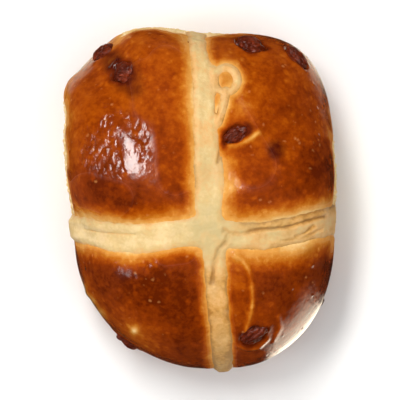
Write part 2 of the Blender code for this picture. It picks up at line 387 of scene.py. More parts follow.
class Maker(Bench):
    """A Geometry Nodes tree that makes real geometry of one material, with named numbers as inputs."""

    def __init__(self, name: str, numbers: Sequence[str], whole: Sequence[str] = ()) -> None:
        """Makes a tree with inputs for numbers, for whole numbers and for a finish."""
        tree = bpy.data.node_groups.new(name, "GeometryNodeTree")
        super().__init__(tree)
        kinds = {"Geometry": "NodeSocketGeometry", **dict.fromkeys(numbers, "NodeSocketFloat")}
        kinds |= {**dict.fromkeys(whole, "NodeSocketInt"), "Finish": "NodeSocketMaterial"}
        for label, kind in kinds.items():
            tree.interface.new_socket(label, in_out="INPUT", socket_type=kind)
        tree.interface.new_socket("Geometry", in_out="OUTPUT", socket_type="NodeSocketGeometry")
        self.given = self.node("NodeGroupInput", {})

    def close(self, shape: Wire) -> None:
        """Ends the tree: instances become real, smooth, and of the given finish."""
        real = self.node("GeometryNodeRealizeInstances", {"Geometry": shape})
        smooth = self.node("GeometryNodeSetShadeSmooth", {"Geometry": real})
        sockets = {"Geometry": smooth, "Material": self.given["Finish"]}
        dressed = self.node("GeometryNodeSetMaterial", sockets)
        self.node("NodeGroupOutput", {"Geometry": dressed})

    def apply(self, name: str, host: Piece, values: Mapping[str, object]) -> Piece:
        """Runs the tree on a host object.

        Args:
            name: The new piece's name.
            host: The object whose mesh the tree starts from. It isn't changed.
            values: The tree's inputs, by name.

        Returns:
            A new object with the result as a plain mesh.
        """
        step = host.modifiers.new(name, "NODES")
        step.node_group = self.tree
        for item in self.tree.interface.items_tree:
            if item.in_out == "INPUT" and item.name in values:
                step[item.identifier] = values[item.name]
        bpy.context.view_layer.update()
        evaluated = host.evaluated_get(bpy.context.evaluated_depsgraph_get())
        mesh = bpy.data.meshes.new_from_object(evaluated)
        host.modifiers.remove(step)
        return placed(name, mesh)


def placed(name: str, mesh: bpy.types.Mesh) -> Piece:
    """Puts a mesh in the scene as an object at the origin."""
    mesh.name = name
    piece = bpy.data.objects.new(name, mesh)
    bpy.context.scene.collection.objects.link(piece)
    return piece


def surface_piece(
    name: str, points: Array, faces: Array, marks: Mapping[Mark, Array], material: Material
) -> Piece:
    """Makes a smooth mesh object from its vertices, the corners of its faces and what each vertex carries."""
    mesh = bpy.data.meshes.new(name)
    mesh.from_pydata(points, [], faces)
    mesh.shade_smooth()
    for mark, values in marks.items():
        carried = mesh.attributes.new(mark.value, "FLOAT", "POINT")
        carried.data.foreach_set("value", np.asarray(values, np.float32))
    mesh.materials.append(material)
    return placed(name, mesh)


def present(piece: Piece, slot: Slot, *nodes: str) -> Piece:
    """Hands a finished piece to the frame.

    Args:
        piece: The piece.
        slot: The material slot that its finish comes from. It is not used.
        *nodes: The solids that it stands for.

    Returns:
        The piece.
    """
    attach(piece, BODY)
    if nodes:
        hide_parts(*nodes)
    REPORT.info("%s: %d faces, for %s", piece.name, len(piece.data.polygons), ", ".join(nodes) or "detail")
    return piece


# ---- Finishes ----


@dataclass(frozen=True)
class CrustFinish:
    """Baked crust under sugar glaze, from pale torn crumb to dark brown, with painted glints."""

    bakes: tuple[tuple[float, Colour], ...] = (
        (0.00, (0.92, 0.69, 0.36)),
        (0.09, (0.80, 0.51, 0.20)),
        (0.18, (0.71, 0.33, 0.068)),
        (0.36, (0.54, 0.165, 0.012)),
        (0.56, (0.39, 0.072, 0.0020)),
        (0.76, (0.25, 0.034, 0.0010)),
        (1.00, (0.11, 0.012, 0.0006)),
    )
    stain: Colour = (0.070, 0.0065, 0.0016)
    # gold is the colour of the painted glints: pale flecks that stand in for glints of light on the glaze.
    gold: Colour = (0.76, 0.31, 0.085)
    cloud: float = 0.30
    patch: float = 0.48
    fleck: float = 0.40
    freckle: float = 0.24
    painted_glint_share: float = 0.34

    def material(self) -> Material:
        """Mixes the finish."""
        s = Surface("glazed_crust")
        bake_and_painted_light, torn, stain, glaze = (s.mark(mark) for mark in (Mark.BAKE, Mark.TORN, Mark.STAIN, Mark.GLAZE))
        cloud = s.noise(9.0 * MM, 3.0, 0.55)
        patch = s.noise(3.6 * MM, 3.0, 0.60)
        fleck = s.noise(1.3 * MM, 3.0, 0.65)
        wander = s.vector("ADD", s.place, s.vector("SCALE", s.noise(2.5 * MM)["Color"], 1.4 * MM))
        freckles = s.cells(3.1 * MM, wander).spread(0.34, 0.10)
        fine = (patch - 0.5) * self.patch + (fleck - 0.5) * self.fleck - freckles * self.freckle * cloud
        browned = bake_and_painted_light + (cloud - 0.5) * self.cloud + fine * bake_and_painted_light.spread(0.15, 0.55, 0.35, 1.0)
        colour = s.colours(browned.held(), self.bakes)
        # Painted glints: small gold flecks in the colour, standing in for glints of light on the glaze.
        painted_glints = s.cells(2.6 * MM, wander).spread(0.26, 0.05) * patch.spread(0.50, 0.62)
        painted_glints = painted_glints * browned.spread(0.25, 0.50)
        colour = s.blend(painted_glints * self.painted_glint_share, colour, self.gold)
        colour = s.blend((stain + (patch - 0.5) * stain * 1.5).held(), colour, self.stain)
        skin = s.noise(1.1 * MM, 2.0, 0.55)
        pebbles = s.cells(1.9 * MM, s.vector("MULTIPLY", wander, (1.15, 0.70, 1.0)))
        blisters = s.cells(5.2 * MM, wander).spread(0.20, 0.02)
        fibre = s.noise(1.3 * MM, 5.0, 0.65, (1.0, 1.0, 0.55))
        pores = s.cells(1.9 * MM).spread(0.10, 0.45)
        wrinkle = s.mark(Mark.WRINKLE)
        smooth = s.bump(skin * (0.12 + wrinkle * 0.25) + blisters * 0.4 - pebbles**2.0 * wrinkle, 0.34 * MM)
        crumb = s.bump((fibre + pores * 0.6) * torn, 0.70 * MM, smooth)
        soft = dict(Subsurface_Weight=0.06, Subsurface_Radius=(1.0, 0.40, 0.12), Subsurface_Scale=1.5 * MM)
        dry = s.shader(Base_Color=colour, Roughness=0.70 + torn * 0.20, IOR=1.12, Normal=crumb, **soft)
        dull = 0.13 + wrinkle * 0.05 + (1.0 - glaze) * 0.24
        wet = s.shader(Base_Color=colour, Roughness=dull, IOR=1.50, Normal=crumb, **soft)
        return s.finish(s.node("ShaderNodeMixShader", {0: (glaze * (1.0 - torn)).held(), 1: dry, 2: wet}))


@dataclass(frozen=True)
class PasteFinish:
    """Baked flour paste: cream, browned a little by the oven where it stands proud, with floury grain, and
    darker by painted shade to the right, at the front and in its cracks.
    """

    bakes: tuple[tuple[float, Colour], ...] = (
        (0.00, (0.82, 0.60, 0.30)),
        (0.25, (0.71, 0.495, 0.21)),
        (0.50, (0.74, 0.41, 0.145)),
        (0.75, (0.62, 0.31, 0.075)),
        (1.00, (0.40, 0.17, 0.030)),
    )
    rosy: Colour = (0.76, 0.50, 0.26)
    damp: Colour = (0.55, 0.425, 0.195)

    def material(self) -> Material:
        """Mixes the finish."""
        s = Surface("baked_paste")
        toast_and_shade, glaze = s.mark(Mark.TOAST_AND_SHADE), s.mark(Mark.GLAZE)
        cloud = s.noise(4.0 * MM, 3.0, 0.6)
        grain = s.noise(1.0 * MM, 4.0, 0.6)
        flour = s.noise(0.30 * MM)
        colour = s.colours((toast_and_shade + (cloud - 0.5) * 0.90 + (grain - 0.5) * 0.40).held(), self.bakes)
        colour = s.blend(s.noise(6.0 * MM).spread(0.52, 0.74, 0.0, 0.35), colour, self.rosy)
        damp = s.mark(Mark.STAIN) * s.noise(3.0 * MM, 3.0).spread(0.30, 0.60, 0.55, 1.0)
        colour = s.blend(damp, colour, self.damp)
        rough = s.bump(s.noise(2.4 * MM, 1.0) + grain * 0.55, 0.26 * MM)
        dull = (0.60 - glaze * 0.20 + (cloud - 0.5) * 0.15).held()
        soft = dict(Subsurface_Weight=0.12, Subsurface_Radius=(1.0, 0.70, 0.35), Subsurface_Scale=1.5 * MM)
        floury = s.bump(flour, 0.035 * MM, rough)
        return s.finish(s.shader(Base_Color=colour, Roughness=dull, IOR=1.42, Normal=floury, **soft))


@dataclass(frozen=True)
class RaisinFinish:
    """Dark dried-fruit skin, redder where light gets into its folds, under sticky glaze."""

    skin: Colour = (0.072, 0.0075, 0.0014)
    blush: Colour = (0.210, 0.027, 0.0050)

    def material(self) -> Material:
        """Mixes the finish."""
        s = Surface("raisin_skin")
        cloud = s.noise(2.2 * MM, 3.0, 0.6)
        fine = s.noise(0.45 * MM, 3.0, 0.6)
        colour = s.blend((cloud * 0.7 + fine * 0.3).spread(0.42, 0.66), self.skin, self.blush)
        dull = (0.36 + (cloud - 0.5) * 0.25).held()
        return s.finish(s.shader(Base_Color=colour, Roughness=dull, IOR=1.38, Normal=s.bump(fine, 0.10 * MM)))


@dataclass(frozen=True)
class SyrupFinish:
    """Drops of set sugar glaze."""

    amber: Colour = (0.22, 0.045, 0.004)

    def material(self) -> Material:
        """Mixes the finish."""
        s = Surface("set_glaze")
        pale = tuple(1.5 * part for part in self.amber)
        colour = s.blend(s.noise(3.0 * MM).spread(0.4, 0.6), self.amber, pale)
        return s.finish(s.shader(Base_Color=colour, Roughness=0.08, IOR=1.50))


@dataclass(frozen=True)
class CrumbFinish:
    """Loose shreds of soft crumb."""

    pale: Colour = (0.90, 0.71, 0.42)
    gold: Colour = (0.78, 0.52, 0.22)

    def material(self) -> Material:
        """Mixes the finish."""
        s = Surface("loose_crumb")
        colour = s.blend(s.noise(1.6 * MM, 3.0, 0.6).spread(0.4, 0.7), self.pale, self.gold)
        rough = s.bump(s.noise(0.4 * MM), 0.1 * MM)
        return s.finish(s.shader(Base_Color=colour, Roughness=0.85, IOR=1.35, Normal=rough))


# ---- The form of the dough ----


@dataclass(frozen=True)
class PipedLine:
    """One piped line of the cross: the axis it runs along, the tilts of its ends, and its bends.

    A bend is the place along the bun, the centre across it and the width there, in millimetres.
    """

    runs_back: bool
    start_tilt: float
    end_tilt: float
    bends: tuple[Row, ...]
    end_travel: float = 30.0 * MM

    def _read(self, column: int, place: Array) -> Array:
        """A bend's centre or width, read at places along the line."""
        bends = np.array(self.bends) * MM
        return through(bends[:, 0], bends[:, column], place)

    def beside(self, points: Array) -> Array:
        """How far points lie to the side of the line's middle."""
        along, across = (points[:, 1], points[:, 0]) if self.runs_back else (points[:, 0], points[:, 1])
        return across - self._read(1, along)

    def beyond(self, aims: Array, grain: Grain) -> Array:
        """How far directions lie past the nearer end of the line, along the skin."""
        tilt = np.degrees(np.arctan2(aims[:, 1 if self.runs_back else 0], aims[:, 2]))
        past = np.maximum(tilt - self.end_tilt, self.start_tilt - tilt)
        return np.radians(past) * self.end_travel + 0.7 * MM * grain.at(aims, 0.05)

    def gap(self, aims: Array, points: Array, grain: Grain) -> Array:
        """How far points lie outside the line's edge, and below 0 how far within it."""
        along, rough = points[:, 1 if self.runs_back else 0], grain.over(points)
        edge = self._read(2, along) / 2.0 + 0.30 * MM * rough(3.5) + 0.15 * MM * rough(1.4)
        side = np.abs(self.beside(points)) - edge
        past = self.beyond(aims, grain)
        outside = np.hypot(np.maximum(side, 0.0), np.maximum(past, 0.0))
        return np.where(outside > 0.0, outside, np.maximum(side, past))


@dataclass(frozen=True)
class Curl:
    """The ring of paste beside the long arm, and the tail that runs back to the arm, in millimetres."""

    middle: Place = (6.8, 31.5)
    radii: Place = (3.0, 3.3)
    half_width: float = 1.20
    thinning: float = 0.12
    web: PlanPath = PlanPath(((3.4, 34.2), (3.7, 31.5), (3.8, 29.2)))
    tail: PlanPath = PlanPath(((6.8, 28.6), (6.4, 26.0), (5.7, 23.5), (4.7, 20.5)))
    lowest: float = 30.0

    def gap(self, points: Array) -> Array:
        """How far points lie outside the strand, and below 0 how far within it. Its far side is thickest."""
        spoke = (points[:, :2] - np.array(self.middle) * MM) / (np.array(self.radii) * MM)
        share = np.maximum(np.linalg.norm(spoke, axis=1), 1e-6)
        ring = np.linalg.norm((spoke - spoke / share[:, None]) * np.array(self.radii) * MM, axis=1)
        ring += (1.0 - (spoke[:, 0] + 0.7 * spoke[:, 1]) / share) * self.thinning * MM
        nearest = np.min([ring, self.web.away(points), self.tail.away(points)], axis=0) - self.half_width * MM
        return np.where(points[:, 2] > self.lowest * MM, nearest, 1.0)


LONG_BENDS: tuple[Row, ...] = (
    (-46.0, 6.2, 5.0), (-39.0, 5.8, 5.4), (-26.0, 4.5, 5.6), (-14.0, 3.7, 6.2), (-1.0, 2.2, 6.8),
    (6.0, 2.4, 7.8), (18.0, 1.4, 6.2), (31.0, 0.8, 5.6), (37.0, -0.2, 4.8), (46.0, -1.2, 4.8),
)
CROSS_BENDS: tuple[Row, ...] = (
    (-36.0, -6.8, 6.6), (-27.5, -8.8, 7.2), (-21.0, -10.0, 8.0), (-14.0, -10.1, 7.8), (-8.0, -9.2, 7.6),
    (1.3, -8.5, 7.4), (11.0, -9.3, 7.0), (17.5, -9.2, 7.4), (24.0, -8.2, 7.4), (30.0, -6.6, 7.6),
    (36.0, -5.2, 7.6),
)


@dataclass
class DoughForm:
    """The smooth form of the bun, fitted to the box of its solid.

    A wave is its order, its share of the outline and its phase. A flat is its middle, its spread and its
    share. A side that a neighbour pressed is its middle and half its spread. Angles are in degrees.
    """

    low: Vector
    high: Vector
    width: float = 72.0 * MM
    length: float = 92.0 * MM
    top: float = 46.6 * MM
    widest: float = 16.5 * MM
    base_cut: float = 0.97
    heart: Place = (0.2 * MM, -0.5 * MM)
    front_square: float = 2.1
    back_squares: Place = (3.6, 3.4)
    lean: float = 0.03
    waves: tuple[Row, ...] = ((1, 0.011, 10.0), (4, 0.012, 170.0), (7, 0.005, 40.0))
    flats: tuple[Row, ...] = ((125.0, 14.0, 0.036), (141.0, 9.0, -0.030), (262.0, 32.0, 0.028))
    sides: tuple[Place, ...] = ((6.0, 38.0), (97.0, 28.0), (166.0, 36.0))
    dome_squares: Place = (2.30, 3.60)
    foot_squares: Place = (3.4, 5.0)
    valley_depth: float = 2.0 * MM
    valley_spread: float = 6.5 * MM
    paste_flow: float = 0.70 * MM
    curl: Curl = Curl()
    long_arm: PipedLine = PipedLine(True, -97.0, 78.0, LONG_BENDS)
    cross_arm: PipedLine = PipedLine(False, -79.0, 80.0, CROSS_BENDS)

    def away_from_side(self, azimuth: Array, side: int) -> Array:
        """How far azimuths lie from the middle of a pressed side, as a share of half its spread."""
        middle, spread = self.sides[side]
        return turned_from(azimuth, middle) / spread

    def pressed(self, azimuth: Array) -> Array:
        """How flat a neighbour pressed the dough at azimuths, from 0 to 1."""
        shares = [np.minimum(1.0, self.away_from_side(azimuth, side)) for side in range(len(self.sides))]
        return np.max([(1.0 - share * share) ** 2 for share in shares], axis=0)

    def outline(self, azimuth: Array) -> Array:
        """The bun's reach from its upright axis at azimuths, where it is widest."""
        across, along = np.cos(azimuth), np.sin(azimuth)
        left, right = self.back_squares
        back = left + (right - left) * (1.0 + across) / 2.0
        power = self.front_square + (back - self.front_square) * ramp(-0.35, 0.35, along)
        shares = (2.0 * np.abs(across) / self.width) ** power + (2.0 * np.abs(along) / self.length) ** power
        uneven = 1.0 - self.lean * np.sin(2.0 * azimuth)
        for order, share, phase in self.waves:
            uneven += share * np.cos(order * azimuth - math.radians(phase))
        for middle, spread, share in self.flats:
            away = turned_from(azimuth, middle) / spread
            uneven -= share * (1.0 - np.minimum(1.0, away) ** 2) ** 2
        return uneven * shares ** (-1.0 / power)

    def valley(self, points: Array) -> Array:
        """How deep the paste holds the dome down."""
        clear = np.ones(len(points))
        for arm in (self.long_arm, self.cross_arm):
            clear *= 1.0 - hump(arm.beside(points), self.valley_spread)
        return self.valley_depth * (1.0 - clear) * (0.3 + 0.7 * mm_ramp(16.0, 36.0, points[:, 2]))

    def skin(self, aims: Array) -> Array:
        """The points of the smooth skin in directions from the bun's heart."""
        azimuth = np.arctan2(aims[:, 1], aims[:, 0])
        flat, rise = np.hypot(aims[:, 0], aims[:, 1]), aims[:, 2]
        upper = rise >= 0.0
        free = np.where(upper, self.dome_squares[0], self.foot_squares[0])
        flattened = np.where(upper, self.dome_squares[1], self.foot_squares[1])
        power = free + (flattened - free) * self.pressed(azimuth)
        reach = (flat**power + np.abs(rise) ** power) ** (-1.0 / power)
        height = np.where(upper, self.top - self.widest, self.widest / self.base_cut)
        radius = self.outline(azimuth) * flat * reach
        x = self.heart[0] + radius * np.cos(azimuth)
        y = self.heart[1] + radius * np.sin(azimuth)
        points = np.stack([x, y, self.widest + height * rise * reach], axis=1)
        above = np.maximum(0.0, points[:, 2] - self.widest)
        away = np.stack([x / self.width, y / self.length, above / self.top], axis=1)
        away /= np.maximum(np.linalg.norm(away, axis=1, keepdims=True), 1e-12)
        points -= away * self.valley(points)[:, None]
        points[:, 2] = np.maximum(0.0, points[:, 2])
        return self._fitted(points)

    def _fitted(self, points: Array) -> Array:
        """Stretches points by the little that makes a whole skin fill the solid's box."""
        low, high = np.array(self.low), np.array(self.high)
        own_low, own_high = self._own_box
        return low + (points - own_low) * (high - low) / (own_high - own_low)

    def __post_init__(self) -> None:
        """Measures the form's own box."""
        self._own_box = (np.array(self.low), np.array(self.high))
        points = self.skin(AimGrid(40).build()[0])
        self._own_box = (points.min(0), points.max(0))

    def paste_gaps(self, aims: Array, points: Array, grain: Grain) -> Array:
        """How far points lie outside the long arm, the cross arm and the curl, and below 0 within each."""
        arms = [arm.gap(aims, points, grain) for arm in (self.long_arm, self.cross_arm)]
        return np.array([*arms, self.curl.gap(points)])

    def joined(self, gaps: Array) -> Array:
        """How far points lie outside the whole paste, whose lines flow into each other where they meet."""
        nearest = gaps.min(axis=0)
        return nearest - self.paste_flow * np.log(np.exp((nearest - gaps) / self.paste_flow).sum(axis=0))


# ---- Fruit ----


@dataclass(frozen=True)
class Seat:
    """Where a raisin lies: its middle, its axes as rows (length, width, out of the dough), and its sizes."""

    middle: Array
    axes: Array
    sizes: Array


@dataclass
class Fruit:
    """The raisins, each wrinkled and seated where its solid lies. An opening is the share that shows."""

    solids: Mapping[str, Piece]
    finish: RaisinFinish = RaisinFinish()
    lifts: Row = (0.1, 0.1, 0.2, 0.2, -0.1, 0.1, 0.2, 0.1, 0.1)
    openings: Row = (0.84, 0.80, 0.82, 0.82, 0.76, 0.78, 0.78, 0.70, 0.70)
    fold_size: float = 0.80
    fold_depth: float = 0.20
    sizes: tuple[str, ...] = ("Length", "Width", "Thickness")

    def node(self, number: int) -> str:
        """The name of a raisin's solid."""
        return f"raisin_{number + 1}"

    def seats(self) -> list[Seat]:
        """Finds where the raisins lie from the spread of their solids' corners."""
        seats = []
        for number in range(len(self.openings)):
            points = np.array([corner.co for corner in self.solids[self.node(number)].data.vertices])
            middle = (points.min(0) + points.max(0)) / 2.0
            axes = np.linalg.eigh(np.cov((points - middle).T))[1].T[::-1]
            leans = axes @ (middle - HEART)
            out = np.argmax(np.abs(leans))
            axes = np.array([*np.delete(axes, out, axis=0), axes[out] * np.sign(leans[out])])
            axes[1] = np.cross(axes[2], axes[0])
            seats.append(Seat(middle, axes, np.ptp((points - middle) @ axes.T, axis=0)))
        return seats

    def maker(self) -> Maker:
        """The tree that wrinkles a ball into a raisin."""
        m = Maker("raisin", (*self.sizes, "Fold Size", "Fold Depth", "Seed"))
        ball = m.node("GeometryNodeMeshIcoSphere", {"Radius": 1.0, "Subdivisions": 6})
        place = m.node("GeometryNodeInputPosition", {})
        lengthwise = m.vector("MULTIPLY", place, (0.55, 1.0, 1.0))
        seed, scale = m.given["Seed"], 1.0 / m.given["Fold Size"]
        sockets = {"Vector": lengthwise, "W": seed, "Scale": scale, "Detail": 2.0}
        fold = m.node("ShaderNodeTexNoise", sockets, noise_dimensions="4D")
        crease = (1.0 - abs(fold - 0.5) * 7.0).held() ** 1.6
        sockets = {"Vector": place, "W": seed + 9.0, "Scale": 1.1}
        lump = m.node("ShaderNodeTexNoise", sockets, noise_dimensions="4D")
        swell = 1.0 + (lump - 0.5) * 0.7 - crease * m.given["Fold Depth"]
        sockets = {axis: m.given[label] * 0.5 for axis, label in enumerate(self.sizes)}
        halves = m.node("ShaderNodeCombineXYZ", sockets)
        shaped = m.vector("SCALE", m.vector("MULTIPLY", place, halves), swell)
        m.close(m.node("GeometryNodeSetPosition", {"Geometry": ball, "Position": shaped}))
        return m

    def build(self) -> None:
        """Makes every raisin."""
        maker, material = self.maker(), self.finish.material()
        host = placed("raisin_host", bpy.data.meshes.new("raisin_host"))
        folds = {"Fold Size": self.fold_size, "Fold Depth": self.fold_depth, "Finish": material}
        for number, seat in enumerate(self.seats()):
            sizes = dict(zip(self.sizes, seat.sizes.tolist()))
            piece = maker.apply(f"plump_{self.node(number)}", host, {**sizes, **folds, "Seed": 3.7 * number})
            place = Matrix(seat.axes.T.tolist()).to_4x4()
            place.translation = Vector(seat.middle + self.lifts[number] * MM * seat.axes[2])
            piece.data.transform(place)
            present(piece, Slot.RAISIN, self.node(number))
        bpy.data.objects.remove(host)


# ---- Crust ----


@dataclass(frozen=True)
class Fold:
    """A fold in the crust: its path, its spread and its rise in millimetres, and how pale it is."""

    path: tuple[Place, ...]
    spread: float
    rise: float
    paleness: float


@dataclass(frozen=True)
class Halo:
    """The pale border beside one side of a piped line: its reach at places along the line, in millimetres."""

    near: float
    places: Row
    reaches: Row

    def share(self, along: Array, gap: Array, uneven: Array) -> Array:
        """How far the crust has browned, from 0 at the paste to 1 beyond the border."""
        far = through(self.places, self.reaches, along / MM) * MM * uneven
        return ramp(self.near * MM, far, gap)


# Fruit just under the crust: x, y, reach and rise in millimetres, and stain.
BULGES: tuple[Row, ...] = (
    (19.9, 13.2, 3.2, 0.25, 0.95), (12.4, 18.4, 2.3, 0.0, 0.95), (-17.4, 29.2, 3.6, 0.0, 0.70),
    (-22.8, 36.4, 3.8, 0.0, 0.95), (-19.6, 32.6, 5.2, 0.0, 0.85), (-20.8, -19.0, 4.2, 0.70, 0.20),
    (-15.5, -20.5, 3.0, 0.45, 0.0), (-29.4, -24.6, 1.4, 0.45, 0.0), (28.0, -14.0, 3.4, 0.40, 0.15),
    (24.0, 24.0, 4.5, 0.35, 0.10), (-27.0, 24.0, 4.0, 0.30, 0.0), (-3.4, 16.8, 1.3, 0.35, 0.0),
    (-3.6, 19.4, 0.8, 0.20, 0.0), (7.4, 5.5, 1.2, 0.30, 0.0), (10.2, 7.5, 0.8, 0.20, 0.0),
    (25.2, 6.8, 0.9, 0.22, 0.0), (26.0, 12.2, 0.8, 0.18, 0.0), (28.6, 6.0, 0.8, 0.18, 0.0),
    (15.2, 17.4, 1.0, 0.30, 0.0), (9.6, -14.8, 1.1, 0.30, 0.0), (-17.3, -34.3, 1.0, 0.28, 0.0),
    (-11.9, -17.0, 1.3, 0.35, 0.0), (-7.6, -31.4, 1.0, 0.22, 0.0), (-7.0, -37.4, 1.1, 0.22, 0.0),
    (14.0, 38.6, 0.8, 0.18, 0.0), (-6.0, 24.2, 0.9, 0.18, 0.0),
)
# Darker or paler patches of the upper crust: x, y and reach in millimetres, and what is added to its
# darkness. The two darker patches at the right edge, near x 32, are painted shade of the gap where a
# neighbour stood. The pale spot at the head of the crease, near (9.8, -15.2), is a painted highlight.
TINTS: tuple[Row, ...] = (
    (-34.0, 26.0, 8.0, -0.15), (-35.5, 11.0, 4.0, -0.16), (-27.0, 28.0, 6.0, 0.12),
    (18.0, 31.0, 6.0, 0.05), (-20.0, 14.0, 11.0, 0.08), (-20.0, 0.5, 7.0, 0.12), (-28.0, 3.0, 6.0, 0.10),
    (26.0, 25.0, 6.0, 0.13), (12.0, 27.0, 6.5, -0.07), (6.8, 31.5, 2.2, -0.36), (10.0, 24.0, 3.0, -0.10),
    (22.0, 4.0, 7.0, 0.06), (32.0, 9.0, 6.5, 0.20), (32.5, -16.0, 6.0, 0.18), (7.8, 4.0, 3.4, -0.50),
    (7.6, 10.5, 2.4, -0.20), (-20.0, -32.5, 7.5, -0.28), (-17.0, -24.0, 7.0, 0.12),
    (-9.0, -22.0, 8.0, 0.10), (-31.2, -23.2, 2.6, -0.62), (-29.0, -26.6, 2.4, -0.60),
    (-26.6, -29.8, 2.1, -0.50), (-17.3, -34.3, 1.2, -0.55), (-12.0, -41.0, 7.0, -0.22),
    (-21.5, -19.0, 4.5, 0.10), (10.2, -22.0, 3.2, -0.20), (9.8, -15.2, 1.6, -0.34),
    (9.8, -30.0, 3.0, -0.14), (25.0, -22.0, 8.0, 0.05),
)
# Patches of wrinkled glaze: x, y and reach in millimetres, and how wrinkled they are.
WRINKLES: tuple[Row, ...] = (
    (-21.5, 14.0, 10.5, 1.2), (-27.5, 12.0, 6.0, 1.8), (-20.0, -19.0, 5.0, 0.26), (-20.0, 33.0, 6.0, 0.6),
)
# Where the glaze is dull: a path, and how far off it in millimetres the gloss begins and is full.
DRY: tuple[tuple[PlanPath, float, float], ...] = (
    (PlanPath(((-6.5, 6.0), (-7.5, 16.0), (-9.0, 36.0))), 3.5, 6.5),
    (PlanPath(((-13.5, 24.5), (-14.5, 33.0))), 3.0, 5.5),
    (PlanPath(((7.0, 21.0), (14.0, 9.0))), 4.5, 8.0),
    (PlanPath(((-30.0, 2.6), (-22.0, 0.4))), 3.5, 6.0),
    (PlanPath(((-9.0, -14.6), (-4.0, -14.0))), 2.2, 3.6),
    (PlanPath(((-20.4, -19.4), (-18.6, -18.6))), -6.0, 6.5),
)
LONG_CREASE: tuple[Place, ...] = (
    (8.9, -14.6), (11.2, -16.0), (12.8, -18.4), (13.6, -22.0), (13.8, -26.0), (13.3, -30.0), (11.5, -35.7),
)
FOLDS = (
    Fold(LONG_CREASE, 0.62, 0.42, 0.50),
    Fold(((7.8, 14.2), (9.8, 14.4), (12.4, 15.6), (15.2, 17.6)), 0.85, 0.60, 0.55),
    # The third fold is a real ridge below the raisin at the front right. Its paleness stands in for the
    # bright rim of light along it: painted highlight.
    Fold(((10.0, -38.0), (12.6, -39.2), (15.4, -38.6), (17.6, -36.6)), 0.60, 0.65, 0.25),
    Fold(((20.4, -30.6), (21.2, -33.6), (19.4, -37.0)), 0.60, 0.30, 0.25),
)
# The borders to either side of the long arm, and then of the cross arm.
HALOS = (
    (
        Halo(-0.8, (-45.0, -28.0, -16.0, -2.0, 8.0, 40.0), (3.8, 3.3, 2.6, 3.4, 4.0, 4.8)),
        Halo(-1.0, (-45.0, -28.0, -16.0, -3.0, 5.0, 12.0, 40.0), (1.7, 1.8, 2.3, 6.0, 5.4, 2.8, 2.8)),
    ),
    (
        Halo(-1.2, (-34.0, -16.0, -6.0, 8.0, 20.0, 32.0), (5.4, 5.2, 3.9, 6.8, 8.4, 7.8)),
        Halo(-0.8, (-34.0, -20.0, -8.0, 8.0, 20.0, 32.0), (4.7, 5.5, 5.2, 5.4, 5.9, 5.9)),
    ),
)


